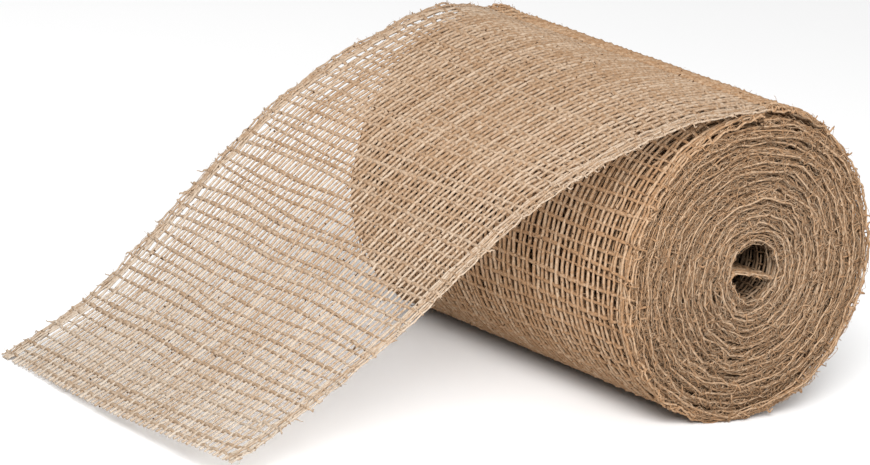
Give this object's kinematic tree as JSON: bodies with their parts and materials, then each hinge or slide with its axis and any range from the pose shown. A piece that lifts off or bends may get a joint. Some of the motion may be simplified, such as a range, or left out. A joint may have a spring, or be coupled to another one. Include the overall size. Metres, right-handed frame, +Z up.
{
  "type": "jute mesh ribbon roll",
  "caption": "Coreless roll of open-weave jute mesh ribbon. The free end leaves over the top and slopes down to the floor; the roll turns inside its outer turn.",
  "frame": {"origin": "on the floor under the middle of the roll, at the centre of the flat facet the roll lies on", "axes": "+X along the roll's axis towards its open, slightly domed end face; -Y towards the ribbon's free end; +Z up"},
  "size_m": [0.154, 0.2769, 0.1131],
  "materials": {
    "jute_mesh": "natural undyed jute yarn, open plain weave, matt and slightly hairy"
  },
  "bodies": {
    "outer_wrap": {"outer_turn": "jute_mesh"},
    "wound_pack": {"inner_end": "jute_mesh", "windings_inner": "jute_mesh", "windings_middle": "jute_mesh", "windings_outer": "jute_mesh"},
    "tail_near_roll": {"tail_drape": "jute_mesh"},
    "tail_tip": {"tail_end": "jute_mesh"}
  },
  "joints": [
    {"name": "roll_turn", "type": "hinge", "parent": "outer_wrap", "child": "wound_pack", "pos_m": [0, 0, 0.055], "axis": [1, 0, 0], "continuous": true},
    {"name": "tail_lift", "type": "hinge", "parent": "outer_wrap", "child": "tail_near_roll", "pos_m": [0, 0, 0.1131], "axis": [-1, 0, 0], "range_deg": [0, 60]},
    {"name": "tail_flex", "type": "hinge", "parent": "tail_near_roll", "child": "tail_tip", "pos_m": [0, -0.12245, 0.06662], "axis": [-0.9971, 0.067, -0.0354], "range_deg": [0, 50]}
  ]
}
